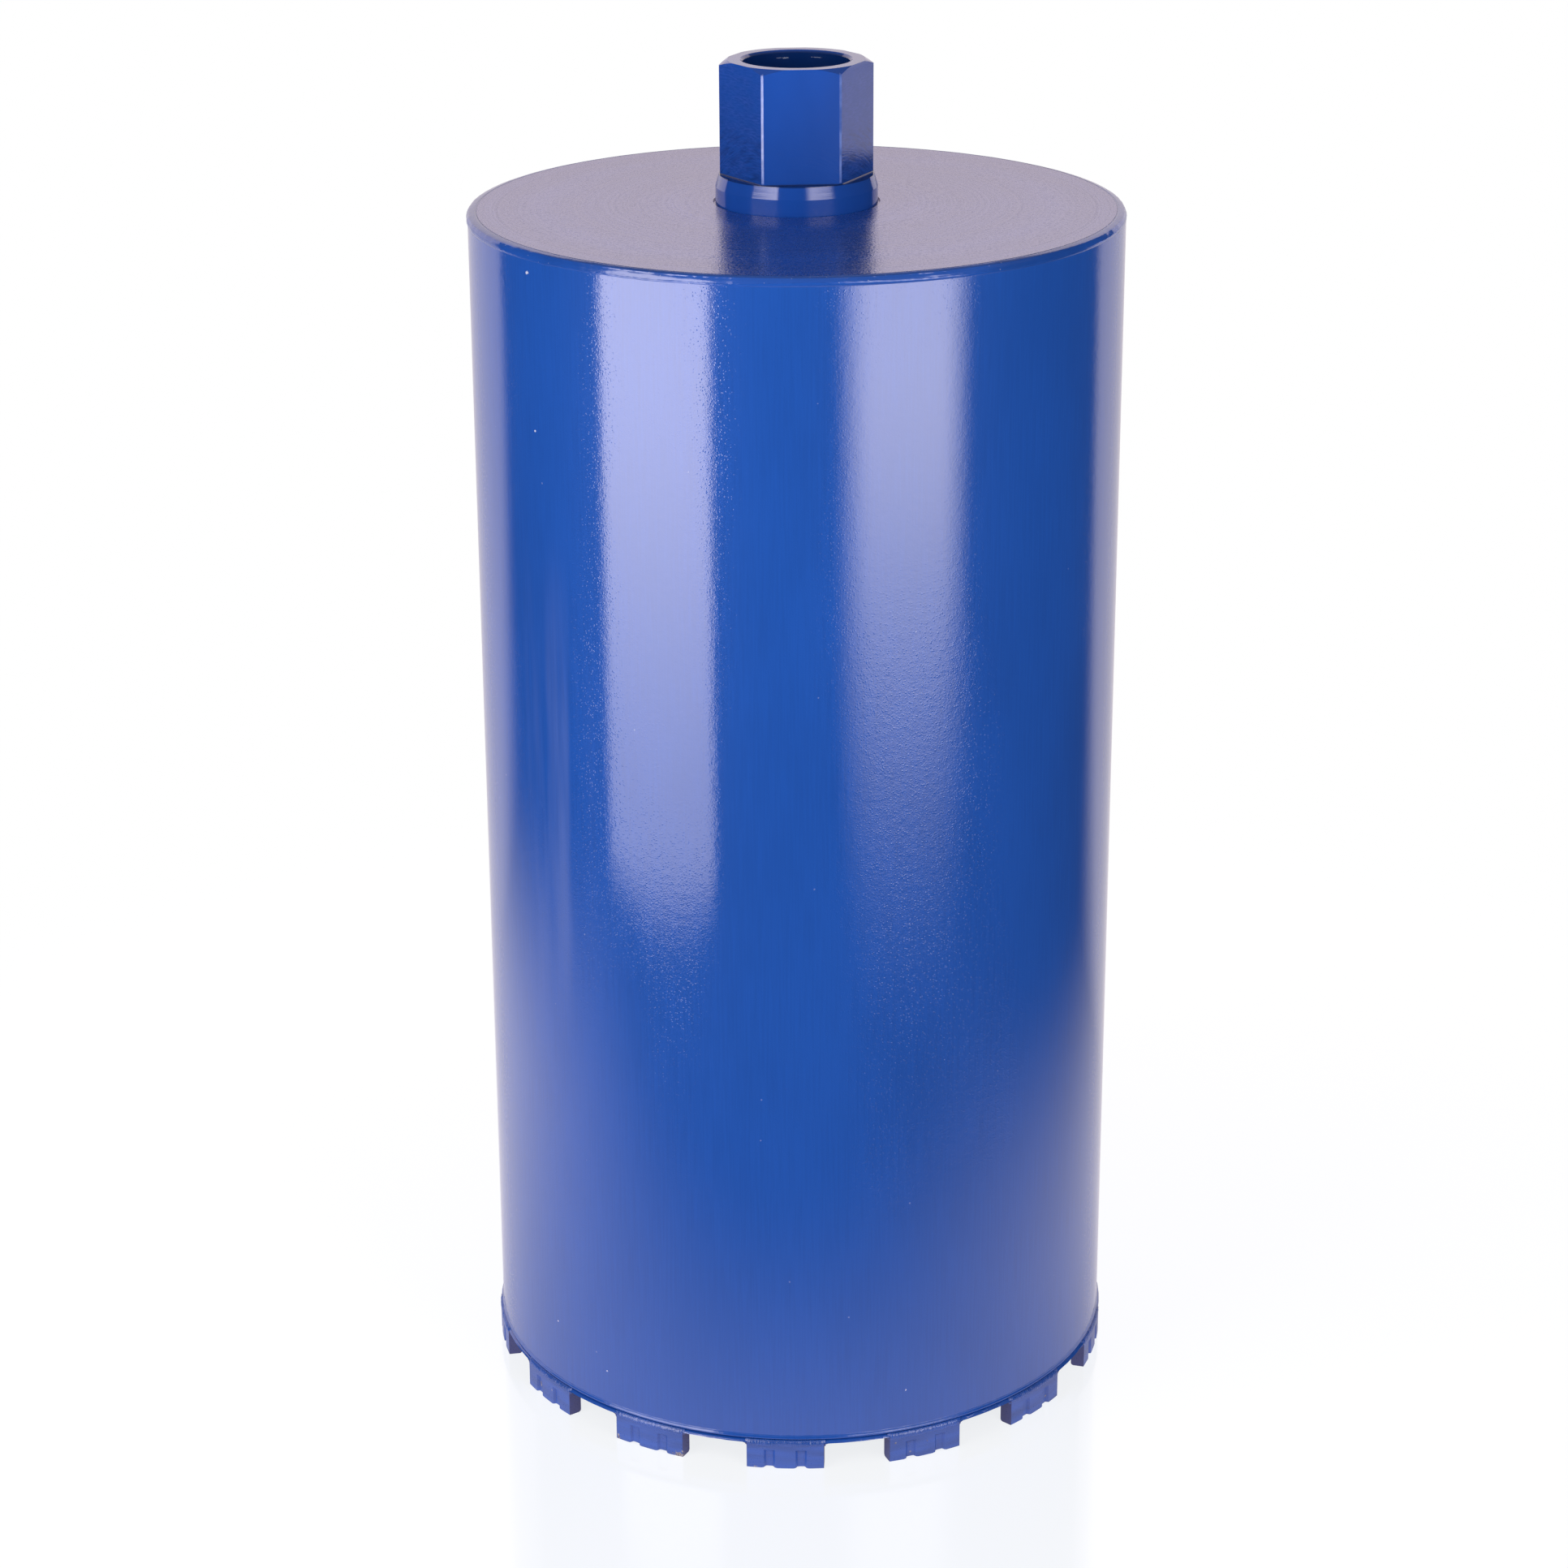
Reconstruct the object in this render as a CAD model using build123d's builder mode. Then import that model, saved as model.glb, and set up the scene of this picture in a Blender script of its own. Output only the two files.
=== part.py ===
"""Wet diamond core bit: a thin steel barrel with diamond segments, an end plate and a hex hub.

The bit stands on its segments. Z runs up the axis, z = 0 is at the segment tips, and -Y is the
front. Lengths are millimetres and angles are degrees.
"""

import os
from math import asin, cos, degrees, radians, sin, tan

from build123d import *

# Ring of diamond segments
segment_count = 14
segment_radius = 100.0
segment_thickness = 4.2
segment_length = 24.0
segment_height = 8.6
segment_foot_radius = 1.2
segment_inner_round = 0.9
segment_outer_round = 0.15

# Water flutes on the outer face of each segment, and the notches they run into at the tip
flute_spacing = 9.9
flute_width = 3.5
flute_depth = 0.7
flute_height = 6.4
flute_flank = 42.0
notch_width = 5.4
notch_flat = 1.8
notch_depth = 0.45
notch_round = 2.5

# Barrel. The segments overhang it, and its lip ends just inside their outer faces
segment_overhang = 0.9
barrel_wall = 2.7
barrel_lip_set_back = 0.1
barrel_lip_height = 0.8
barrel_groove_depth = 0.55
barrel_groove_height = 0.5
barrel_edge_round = 0.4

# End plate. Its top is a shallow cone, higher at the hub than at the rim
rim_height = 376.0
plate_thickness = 8.0
plate_rise = 1.3
plate_edge_chamfer = 0.6
plate_clearance = 0.05
hub_seat_clearance = 0.7
hub_seat_depth = 0.6

# Weld bead round the rim, turned flush on top and left slightly proud of the barrel
bead_throat = 1.2
bead_height = 2.3
bead_shoulder = 0.5
bead_proud = 0.3
bead_peak_drop = 1.4

# Hub
hub_height = 42.7
hex_sides = 6
hex_across_flats = 40.4
hex_height = 34.1
hex_blank_radius = 23.1
hex_crown_radius = 20.6
hex_crown_angle = 32.0
hex_cutter_round = 0.5
hub_clocking = 7.0
collar_radius = 24.5
collar_top_radius = 23.4
collar_cone_height = 3.7
spigot_radius = 20.0
spigot_clearance = 0.05
spigot_reach = 3.5
fillet_bead_leg = 4.5
fillet_bead_swell = 0.35

# Spindle thread, 1 1/4 inch with 7 threads to the inch, bored here to its major diameter
thread_major_diameter = 31.75
thread_length = 32.0
relief_radius = 16.1
relief_depth = 8.0
mouth_chamfer = 0.8
water_passage_radius = 14.0

# Heights and radii that follow from the values above
barrel_radius = segment_radius - segment_overhang
barrel_lip_radius = segment_radius - barrel_lip_set_back
barrel_bore_radius = barrel_radius - barrel_wall
barrel_edge_z = segment_height + barrel_lip_height + barrel_groove_height
barrel_top_z = rim_height - bead_throat
plate_radius = barrel_bore_radius - plate_clearance
plate_crown_z = rim_height + plate_rise
plate_bottom_z = rim_height - plate_thickness
hub_seat_z = plate_crown_z - hub_seat_depth
hub_seat_radius = collar_radius + hub_seat_clearance
hub_top_z = plate_crown_z + hub_height
hex_bottom_z = hub_top_z - hex_height
spigot_bottom_z = plate_bottom_z - spigot_reach
thread_top_z = hub_top_z - relief_depth
thread_bottom_z = thread_top_z - thread_length
cut_margin = 1.0


def make_segment():
    """One segment, centred at the front of the ring."""
    half_length = segment_length / 2
    foot_z = segment_height - segment_foot_radius
    foot_x = half_length + segment_foot_radius
    foot_mid = segment_foot_radius * (1 - cos(radians(45)))
    flute_offset = flute_spacing / 2
    half_notch = notch_width / 2
    half_flat = notch_flat / 2
    tip_line = [(-half_length, 0)]
    for centre in (-flute_offset, flute_offset):
        tip_line += [
            (centre - half_notch, 0),
            (centre - half_flat, notch_depth),
            (centre + half_flat, notch_depth),
            (centre + half_notch, 0),
        ]
    tip_line.append((half_length, 0))

    with BuildPart() as segment:
        # Front view: notched tip, straight ends and a foot that flares into the barrel's lip
        with BuildSketch(Plane.XZ):
            with BuildLine():
                Polyline(*tip_line)
                Line((half_length, 0), (half_length, foot_z))
                ThreePointArc(
                    (half_length, foot_z),
                    (half_length + foot_mid, segment_height - foot_mid),
                    (foot_x, segment_height),
                )
                Line((foot_x, segment_height), (-foot_x, segment_height))
                ThreePointArc(
                    (-foot_x, segment_height),
                    (-half_length - foot_mid, segment_height - foot_mid),
                    (-half_length, foot_z),
                )
                Line((-half_length, foot_z), (-half_length, 0))
            outline = make_face()
            notch_corners = outline.vertices().filter_by(
                lambda corner: corner.Y < foot_z / 2 and abs(corner.X) < half_length - half_flat
            )
            fillet(notch_corners, radius=notch_round)
        extrude(amount=segment_radius + cut_margin)

        # Section of the ring that the segments are cut from
        inner_radius = segment_radius - segment_thickness
        with BuildSketch(Plane.XZ):
            with Locations((inner_radius, 0)):
                Rectangle(segment_thickness, segment_height, align=(Align.MIN, Align.MIN))
            fillet(vertices().group_by(Axis.Y)[0].sort_by(Axis.X)[0], radius=segment_inner_round)
            fillet(vertices().group_by(Axis.Y)[0].sort_by(Axis.X)[-1], radius=segment_outer_round)
        revolve(axis=Axis.Z, mode=Mode.INTERSECT)

        # Flutes, narrower at the floor than at the outer face
        flute_azimuth = degrees(asin(flute_offset / segment_radius))
        opening_growth = cut_margin * tan(radians(flute_flank))
        for azimuth in (-flute_azimuth, flute_azimuth):
            turn = radians(azimuth)
            start_radius = segment_radius + cut_margin
            face = Plane(
                origin=(start_radius * sin(turn), -start_radius * cos(turn), 0),
                x_dir=(-cos(turn), -sin(turn), 0),
                z_dir=(-sin(turn), cos(turn), 0),
            )
            with BuildSketch(face):
                with Locations((0, flute_height + opening_growth)):
                    Rectangle(
                        flute_width + 2 * opening_growth,
                        2 * segment_height,
                        align=(Align.CENTER, Align.MAX),
                    )
            extrude(amount=flute_depth + cut_margin, taper=flute_flank, mode=Mode.SUBTRACT)
    return segment.part


def make_barrel():
    """Tube with a bevelled top end and, over the segments, a groove and a flared lip."""
    groove_radius = barrel_radius - barrel_groove_depth
    lip_top_z = segment_height + barrel_lip_height
    round_mid = barrel_edge_round * (1 - cos(radians(45)))
    lip_flare = barrel_lip_radius - groove_radius

    with BuildPart() as barrel:
        with BuildSketch(Plane.XZ):
            with BuildLine():
                Polyline(
                    (barrel_bore_radius, segment_height),
                    (barrel_bore_radius, barrel_top_z),
                    (barrel_radius, rim_height - bead_height),
                    (barrel_radius, barrel_edge_z + barrel_edge_round),
                )
                ThreePointArc(
                    (barrel_radius, barrel_edge_z + barrel_edge_round),
                    (barrel_radius - round_mid, barrel_edge_z + round_mid),
                    (barrel_radius - barrel_edge_round, barrel_edge_z),
                )
                Polyline(
                    (barrel_radius - barrel_edge_round, barrel_edge_z),
                    (groove_radius, barrel_edge_z),
                    (groove_radius, lip_top_z),
                )
                ThreePointArc(
                    (groove_radius, lip_top_z),
                    (groove_radius + 0.6 * lip_flare, lip_top_z - 0.3 * barrel_lip_height),
                    (barrel_lip_radius, segment_height),
                )
                Line((barrel_lip_radius, segment_height), (barrel_bore_radius, segment_height))
            make_face()
        revolve(axis=Axis.Z)
    return barrel.part


def make_top_plate():
    """End plate inside the barrel's top, with a hole and a shallow seat for the hub."""
    hole_radius = spigot_radius + spigot_clearance

    with BuildPart() as top_plate:
        with BuildSketch(Plane.XZ):
            with BuildLine():
                Polyline(
                    (hole_radius, plate_bottom_z),
                    (plate_radius - plate_edge_chamfer, plate_bottom_z),
                    (plate_radius, plate_bottom_z + plate_edge_chamfer),
                    (plate_radius, rim_height),
                    (hub_seat_radius, plate_crown_z),
                    (hub_seat_radius, hub_seat_z),
                    (hole_radius, hub_seat_z),
                    close=True,
                )
            make_face()
        revolve(axis=Axis.Z)
    return top_plate.part


def make_rim_weld():
    """Bead in the bevel between plate and barrel, with a rounded outer face."""
    with BuildPart() as rim_weld:
        with BuildSketch(Plane.XZ):
            with BuildLine():
                Polyline(
                    (barrel_radius, rim_height - bead_height),
                    (barrel_bore_radius, barrel_top_z),
                    (plate_radius, barrel_top_z),
                    (plate_radius, rim_height),
                    (barrel_radius - bead_shoulder, rim_height),
                )
                ThreePointArc(
                    (barrel_radius - bead_shoulder, rim_height),
                    (barrel_radius + bead_proud, rim_height - bead_peak_drop),
                    (barrel_radius, rim_height - bead_height),
                )
            make_face()
        revolve(axis=Axis.Z)
    return rim_weld.part


def make_hub():
    """Turned hub: hexagon over a coned collar, and a spigot that goes through the plate."""
    crown_drop = (hex_blank_radius - hex_crown_radius) * tan(radians(hex_crown_angle))
    thread_radius = thread_major_diameter / 2
    passage_cone = thread_radius - water_passage_radius

    with BuildPart() as hub:
        with BuildSketch(Plane.XZ):
            with BuildLine():
                Polyline(
                    (0, spigot_bottom_z),
                    (spigot_radius, spigot_bottom_z),
                    (spigot_radius, hub_seat_z),
                    (collar_radius, hub_seat_z),
                    (collar_radius, hex_bottom_z - collar_cone_height),
                    (collar_top_radius, hex_bottom_z),
                    (hex_blank_radius, hex_bottom_z),
                    (hex_blank_radius, hub_top_z - crown_drop),
                    (hex_crown_radius, hub_top_z),
                    (0, hub_top_z),
                    close=True,
                )
            make_face()
        revolve(axis=Axis.Z)

        # The flats, milled down to the collar with a cutter that leaves a small round in the corner
        for flat in range(hex_sides):
            turn = radians(hub_clocking - 90 + 360 * flat / hex_sides)
            across = Plane(
                origin=(0, 0, 0),
                x_dir=(cos(turn), sin(turn), 0),
                z_dir=(sin(turn), -cos(turn), 0),
            )
            with BuildSketch(across):
                with Locations((hex_across_flats / 2, hex_bottom_z)):
                    Rectangle(
                        collar_radius,
                        hex_height + cut_margin,
                        align=(Align.MIN, Align.MIN),
                    )
                fillet(vertices().group_by(Axis.Y)[0].sort_by(Axis.X)[0], radius=hex_cutter_round)
            extrude(amount=collar_radius, both=True, mode=Mode.SUBTRACT)

        # Water passage, thread, plain relief above the thread, and the chamfered mouth
        with BuildSketch(Plane.XZ):
            with BuildLine():
                Polyline(
                    (0, spigot_bottom_z - cut_margin),
                    (water_passage_radius, spigot_bottom_z - cut_margin),
                    (water_passage_radius, thread_bottom_z - passage_cone),
                    (thread_radius, thread_bottom_z),
                    (thread_radius, thread_top_z),
                    (relief_radius, thread_top_z),
                    (relief_radius, hub_top_z - mouth_chamfer),
                    (relief_radius + mouth_chamfer + cut_margin, hub_top_z + cut_margin),
                    (0, hub_top_z + cut_margin),
                    close=True,
                )
            make_face()
        revolve(axis=Axis.Z, mode=Mode.SUBTRACT)
    return hub.part


def make_hub_weld():
    """Fillet bead in the corner between the hub's spigot and the underside of the plate."""
    middle_radius = spigot_radius + fillet_bead_leg / 2
    middle_z = plate_bottom_z - spigot_reach / 2
    swell = fillet_bead_swell * cos(radians(45))

    with BuildPart() as hub_weld:
        with BuildSketch(Plane.XZ):
            with BuildLine():
                ThreePointArc(
                    (spigot_radius + fillet_bead_leg, plate_bottom_z),
                    (middle_radius + swell, middle_z - swell),
                    (spigot_radius, spigot_bottom_z),
                )
                Polyline(
                    (spigot_radius, spigot_bottom_z),
                    (spigot_radius, plate_bottom_z),
                    (spigot_radius + fillet_bead_leg, plate_bottom_z),
                )
            make_face()
        revolve(axis=Axis.Z)
    return hub_weld.part


def write(part, name):
    """Label a finished piece and write its STEP file."""
    part.label = name
    export_step(part, f"parts/{name}.step")


os.makedirs("parts", exist_ok=True)
write(make_hub(), "hub")
write(make_top_plate(), "top_plate")
write(make_barrel(), "barrel")
write(make_rim_weld(), "rim_weld")
write(make_hub_weld(), "hub_weld")

front_segment = make_segment()
for index, place in enumerate(PolarLocations(0, segment_count), start=1):
    write(front_segment.moved(place), f"segment_{index:02d}")
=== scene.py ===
"""Looks of the diamond core bit: paint, weld beads, thread, studio and camera.

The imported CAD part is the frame. Its solids keep their places, and this script dresses
them, adds the pieces that are finer than the solids, and sets up the photograph's view.
"""

import logging
import math
from abc import ABC, abstractmethod
from dataclasses import dataclass
from enum import Enum
from functools import cached_property

import bpy
import numpy as np
from mathutils import Matrix, Vector


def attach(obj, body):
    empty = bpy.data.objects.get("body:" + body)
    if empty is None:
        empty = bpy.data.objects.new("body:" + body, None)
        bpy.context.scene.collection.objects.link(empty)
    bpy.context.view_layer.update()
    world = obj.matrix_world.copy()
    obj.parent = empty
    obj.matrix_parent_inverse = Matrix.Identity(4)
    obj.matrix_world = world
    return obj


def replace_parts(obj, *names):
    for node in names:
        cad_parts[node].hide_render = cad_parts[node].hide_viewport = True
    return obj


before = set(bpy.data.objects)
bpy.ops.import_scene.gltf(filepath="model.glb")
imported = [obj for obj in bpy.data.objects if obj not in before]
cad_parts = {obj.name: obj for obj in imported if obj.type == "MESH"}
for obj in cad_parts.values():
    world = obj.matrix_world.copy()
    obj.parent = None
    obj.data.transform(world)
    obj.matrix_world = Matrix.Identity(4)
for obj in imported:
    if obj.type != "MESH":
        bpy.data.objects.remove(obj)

log = logging.getLogger("core_bit")

Outputs = bpy.types.bpy_prop_collection
Socket = bpy.types.NodeSocket
Material = bpy.types.Material
Piece = bpy.types.Object

MM = 0.001
CAMERA_TURN = math.radians(2.731)
WHITE = (1.0, 1.0, 1.0, 1.0)


class Slot(Enum):
    """Names of the bit's material slots."""

    HUB = "hub_paint"
    PLATE = "plate_paint"
    BARREL = "barrel_paint"
    SEGMENT = "segment_paint"


class Graph:
    """A shader node tree while its nodes are added and wired."""

    def __init__(self, tree: bpy.types.NodeTree) -> None:
        """Starts on an empty tree."""
        self.tree = tree
        tree.nodes.clear()

    def add(self, kind: str, values: dict | None = None, **settings: object) -> bpy.types.Node:
        """Adds a node.

        Args:
            kind: Blender's name of the node type.
            values: Value or source socket of each input, by its name or number.
            settings: Properties of the node.

        Returns:
            The new node.
        """
        node = self.tree.nodes.new(kind)
        for name, setting in settings.items():
            setattr(node, name, setting)
        for name, value in (values or {}).items():
            if isinstance(value, Socket):
                self.tree.links.new(value, node.inputs[name])
            else:
                node.inputs[name].default_value = value
        return node

    def math(self, operation: str, first: object, second: object = 0.0) -> Socket:
        """Adds one arithmetic step.

        Args:
            operation: Name of the Math node's operation.
            first: First number or socket.
            second: Second number or socket.

        Returns:
            The result's socket.
        """
        return self.add("ShaderNodeMath", {0: first, 1: second}, operation=operation).outputs[0]

    def plus(self, first: object, second: object) -> Socket:
        """Adds two values."""
        return self.math("ADD", first, second)

    def minus(self, first: object, second: object) -> Socket:
        """Takes the second value from the first."""
        return self.math("SUBTRACT", first, second)

    def times(self, first: object, second: object) -> Socket:
        """Multiplies two values."""
        return self.math("MULTIPLY", first, second)

    def over(self, first: object, second: object) -> Socket:
        """Divides the first value by the second."""
        return self.math("DIVIDE", first, second)

    def larger(self, first: object, second: object) -> Socket:
        """Gives the larger of two values."""
        return self.math("MAXIMUM", first, second)

    def unsigned(self, value: object) -> Socket:
        """Takes a value's sign away."""
        return self.math("ABSOLUTE", value)

    def diagonal(self, first: object, second: object) -> Socket:
        """Gives the long side over two sides at a right angle."""
        return self.math("SQRT", self.plus(self.times(first, first), self.times(second, second)))

    def folded(self, value: object, sector: float) -> Socket:
        """Repeats a value in sectors, from minus half a sector to plus half of one."""
        return self.minus(self.math("FLOORED_MODULO", value, sector), sector / 2)

    def rescale(self, value: object, low: object, high: object, to: tuple = (0.0, 1.0)) -> Socket:
        """Maps a range of a value smoothly to another range, held at its ends.

        Args:
            value: Socket to read.
            low: Value that gives the first result.
            high: Value that gives the second result.
            to: The two results.

        Returns:
            The result's socket.
        """
        values = {0: value, 1: low, 2: high, 3: to[0], 4: to[1]}
        return self.add("ShaderNodeMapRange", values, interpolation_type="SMOOTHSTEP").outputs[0]

    def choose(self, share: object, first: object, second: object) -> Socket:
        """Blends from the first value to the second, evenly."""
        return self.add("ShaderNodeMapRange", {0: share, 3: first, 4: second}).outputs[0]

    def mix(self, share: object, first: object, second: object) -> Socket:
        """Mixes two colours by the share of the second."""
        return self.add("ShaderNodeMix", {0: share, 6: first, 7: second}, data_type="RGBA").outputs[2]

    def layered(self, base: object, *layers: tuple) -> Socket:
        """Lays colours over a base colour.

        Args:
            base: Colour or socket at the bottom.
            layers: Share and colour of each layer, from the lowest to the highest.

        Returns:
            The colour's socket.
        """
        for share, colour in layers:
            base = self.mix(share, base, colour)
        return base

    def noise(self, place: Socket, scale: object, detail: float = 2.0, rough: float = 0.5) -> Socket:
        """Adds a noise value.

        Args:
            place: Vector socket to read the noise at.
            scale: Cells per metre, a number or a socket.
            detail: Octaves.
            rough: Strength of the finer octaves.

        Returns:
            The noise value's socket.
        """
        values = {"Vector": place, "Scale": scale, "Detail": detail, "Roughness": rough}
        return self.add("ShaderNodeTexNoise", values).outputs["Fac"]

    def stretch(self, place: Socket, factors: tuple, shift: tuple = (0.0, 0.0, 0.0)) -> Socket:
        """Scales a place on each axis and moves it, so that a pattern is stretched."""
        values = {"Vector": place, "Scale": factors, "Location": shift}
        return self.add("ShaderNodeMapping", values).outputs[0]

    def place(self) -> Socket:
        """Gives the place in the row frame, in metres."""
        return self.add("ShaderNodeTexCoord").outputs["Object"]

    def split(self, vector: Socket) -> Outputs:
        """Takes a vector apart into its three values."""
        return self.add("ShaderNodeSeparateXYZ", {0: vector}).outputs

    def joined(self, x: object, y: object = 0.0, z: object = 0.0) -> Socket:
        """Puts three values together as a vector."""
        return self.add("ShaderNodeCombineXYZ", {0: x, 1: y, 2: z}).outputs[0]

    def wrapped(self) -> tuple:
        """Gives the place round the bit's axis.

        Returns:
            Sockets of the angle in radians, the radius and the height in metres.
        """
        x, y, z = self.split(self.place())
        return self.math("ARCTAN2", y, x), self.diagonal(x, y), z

    def group(self, tree: bpy.types.NodeTree, values: dict) -> Outputs:
        """Places a node group with its own values, and gives its outputs."""
        return self.add("ShaderNodeGroup", values, node_tree=tree).outputs


class Effects:
    """Node groups that several paints share, each built once."""

    def _group(self, name: str, inputs: dict, outputs: tuple) -> tuple:
        """Makes an empty group.

        Args:
            name: Name of the group.
            inputs: Default value of each input, by name.
            outputs: Names of the outputs.

        Returns:
            The group, its graph, and its inputs as sockets to read.
        """
        tree = bpy.data.node_groups.new(name, "ShaderNodeTree")
        for label, value in inputs.items():
            socket = tree.interface.new_socket(label, in_out="INPUT", socket_type="NodeSocketFloat")
            socket.default_value = value
        for label in outputs:
            tree.interface.new_socket(label, in_out="OUTPUT", socket_type="NodeSocketFloat")
        graph = Graph(tree)
        return tree, graph, graph.add("NodeGroupInput").outputs

    @cached_property
    def paint_skin(self) -> bpy.types.NodeTree:
        """Builds the lumps, grain and cloudiness of sprayed paint.

        Returns:
            The group, with outputs Height, Cloud and Grain.
        """
        inputs = {"Lump Size": 0.002, "Grain Size": 0.0004, "Grain Share": 0.3}
        tree, graph, given = self._group("Paint Skin", inputs, ("Height", "Cloud", "Grain"))
        place = graph.place()
        lumps = graph.noise(place, graph.over(1.0, given["Lump Size"]), 1.5)
        grain = graph.noise(place, graph.over(1.0, given["Grain Size"]), 2.0, 0.6)
        cloud = graph.noise(graph.stretch(place, (1.0, 1.0, 0.45)), 24.0, 3.0, 0.55)
        height = graph.plus(lumps, graph.times(grain, given["Grain Share"]))
        graph.add("NodeGroupOutput", {"Height": height, "Cloud": cloud, "Grain": grain})
        return tree

    @cached_property
    def flecks(self) -> bpy.types.NodeTree:
        """Builds scattered specks, such as dust, spray grains or pits in the paint.

        Returns:
            The group, with outputs Speck, Dome and Pit.
        """
        inputs = {"Spacing": 0.004, "Speck Size": 0.00025, "Share": 0.3}
        tree, graph, given = self._group("Flecks", inputs, ("Speck", "Dome", "Pit"))
        place = graph.place()
        scale = graph.over(1.0, given["Spacing"])
        cells = graph.add("ShaderNodeTexVoronoi", {"Vector": place, "Scale": scale}).outputs
        kept = graph.math("LESS_THAN", graph.split(cells["Color"])[0], given["Share"])
        reach = graph.times(cells["Distance"], given["Spacing"])
        ragged = graph.plus(graph.times(graph.noise(place, 5000.0, 1.0), 0.0002), -0.0001)
        near = graph.math("LESS_THAN", graph.plus(reach, ragged), given["Speck Size"])
        dome = graph.rescale(reach, given["Speck Size"], 0.0)
        moved = graph.stretch(place, (1.0, 1.0, 1.0), (0.31, 0.17, 0.05))
        coarse = graph.times(scale, 0.31)
        wide = graph.add("ShaderNodeTexVoronoi", {"Vector": moved, "Scale": coarse}).outputs
        pit = graph.math("LESS_THAN", graph.over(wide["Distance"], coarse), given["Speck Size"])
        values = {"Speck": graph.times(near, kept), "Dome": graph.times(dome, kept), "Pit": pit}
        graph.add("NodeGroupOutput", values)
        return tree

    @cached_property
    def spot(self) -> bpy.types.NodeTree:
        """Builds one ragged spot at a given place, such as a chip in the paint.

        Returns:
            The group, with output Spot.
        """
        inputs = {"X": 0.0, "Y": 0.0, "Z": 0.0, "Across": 0.001, "High": 0.001}
        tree, graph, given = self._group("Ragged Spot", inputs, ("Spot",))
        x, y, z = graph.split(graph.place())
        level = graph.diagonal(graph.minus(x, given["X"]), graph.minus(y, given["Y"]))
        across = graph.over(level, given["Across"])
        rise = graph.over(graph.minus(z, given["Z"]), given["High"])
        ragged = graph.rescale(graph.noise(graph.place(), 1500.0, 3.0, 0.7), 0.2, 0.8, (-0.7, 0.7))
        spot = graph.rescale(graph.plus(graph.diagonal(across, rise), ragged), 1.0, 0.85)
        graph.add("NodeGroupOutput", {"Spot": spot})
        return tree

    @cached_property
    def turned_rings(self) -> bpy.types.NodeTree:
        """Builds the fine rings that a lathe tool leaves.

        Returns:
            The group, with outputs Height and Shade.
        """
        inputs = {"Pitch": 0.0004, "Wander": 0.3}
        tree, graph, given = self._group("Turned Rings", inputs, ("Height", "Shade"))
        _, radius, height = graph.wrapped()
        turns = graph.over(graph.plus(radius, height), given["Pitch"])
        fine = graph.noise(graph.joined(turns), 0.9, 2.0, 0.7)
        wide = graph.noise(graph.joined(turns, 7.0), 0.08, 2.0)
        drift = graph.noise(graph.place(), 60.0, 2.0)
        shade = graph.plus(wide, graph.times(drift, given["Wander"]))
        graph.add("NodeGroupOutput", {"Height": fine, "Shade": shade})
        return tree

    @cached_property
    def level_scratches(self) -> bpy.types.NodeTree:
        """Builds fine level lines, as grinding or a milling cutter leaves them.

        Returns:
            The group, with outputs Height and Shade.
        """
        inputs = {"Line Width": 0.00015, "Line Length": 0.012}
        tree, graph, given = self._group("Level Scratches", inputs, ("Height", "Shade"))
        angle, _, height = graph.wrapped()
        across = graph.over(height, given["Line Width"])
        along = graph.over(graph.times(angle, 0.1), given["Line Length"])
        lines = graph.noise(graph.joined(along, across), 1.0, 3.0, 0.65)
        bands = graph.noise(graph.joined(graph.times(along, 0.3), graph.times(across, 0.12)), 1.0, 2.0)
        graph.add("NodeGroupOutput", {"Height": lines, "Shade": bands})
        return tree


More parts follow.
